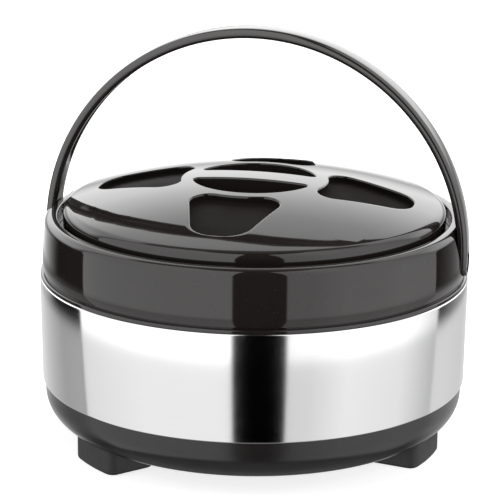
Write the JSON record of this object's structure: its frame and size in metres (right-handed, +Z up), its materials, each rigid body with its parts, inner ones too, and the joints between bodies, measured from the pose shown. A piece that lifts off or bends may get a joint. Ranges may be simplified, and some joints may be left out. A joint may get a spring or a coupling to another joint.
{
  "type": "insulated chapati casserole",
  "caption": "Round insulated serving casserole with a steel band, a collar, a lift-off domed lid with finger recesses, and a carrying bail that swings in two pockets.",
  "frame": {"origin": "on the ground under the pot's axis", "axes": "+Z up along the pot's axis; X along the bail's pivots; -Y is the front"},
  "size_m": [0.2412, 0.24, 0.2339],
  "materials": {
    "polished_steel": "polished stainless sheet with a faint turned grain",
    "bowl_steel": "satin stainless sheet",
    "screw_steel": "plain zinc-plated steel",
    "gloss_plastic": "high-gloss moulded black",
    "handle_plastic": "moulded black, semi-gloss",
    "satin_plastic": "satin moulded black",
    "foot_plastic": "matte moulded black",
    "foam": "rigid poured foam"
  },
  "bodies": {
    "pot": {"outer_band": "polished_steel", "base_cup": "satin_plastic", "filler_plug": "satin_plastic", "foot_front_left": "foot_plastic", "foot_right": "foot_plastic", "foot_back": "foot_plastic", "foot_screws": "screw_steel", "collar": "gloss_plastic", "inner_bowl": "bowl_steel", "body_insulation": "foam", "pivot_stud_right": "gloss_plastic", "pivot_stud_left": "gloss_plastic"},
    "lid": {"lid_cover": "gloss_plastic", "lid_ring": "satin_plastic", "lid_liner": "bowl_steel", "lid_insulation": "foam"},
    "bail": {"handle": "handle_plastic"}
  },
  "joints": [
    {"name": "bail_swing", "type": "hinge", "parent": "pot", "child": "bail", "pos_m": [0, 0, 0.109], "axis": [1, 0, 0], "range_deg": [-30, 30]},
    {"name": "lid_lift", "type": "slide", "parent": "pot", "child": "lid", "axis": [0, 0, 1], "range_m": [0, 0.02]}
  ]
}
